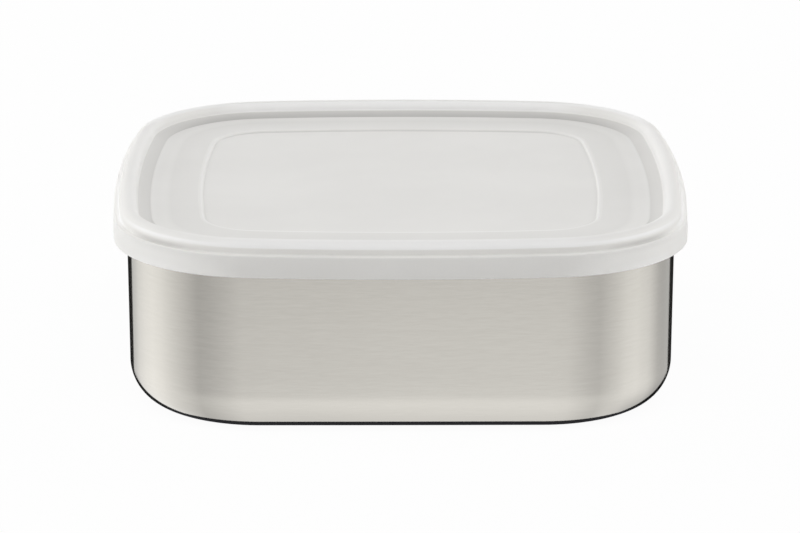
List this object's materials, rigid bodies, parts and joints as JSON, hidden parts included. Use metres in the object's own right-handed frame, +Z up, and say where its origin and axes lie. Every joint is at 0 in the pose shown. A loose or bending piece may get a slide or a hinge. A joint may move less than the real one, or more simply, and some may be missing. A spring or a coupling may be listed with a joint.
{
  "type": "lunch box",
  "caption": "Square brushed-steel lunch box with rounded corners and a pale plastic press-on lid, beaded round the edge, that pulls straight off over a sealing ring.",
  "frame": {"origin": "centre of the flat base, on the surface the box stands on", "axes": "+Z up through the lid, +X to the right and -Y to the viewer in the picture"},
  "size_m": [0.18, 0.18, 0.0615],
  "materials": {
    "steel": "fine hairline brushing round the sides",
    "plastic": "satin moulded surface, slightly translucent",
    "silicone": "soft satin"
  },
  "bodies": {
    "container": {"container": "steel"},
    "lid": {"lid": "plastic", "lid_seal": "silicone"}
  },
  "joints": [
    {"name": "lid_lift", "type": "slide", "parent": "container", "child": "lid", "axis": [0, 0, 1], "range_m": [0, 0.1]}
  ]
}
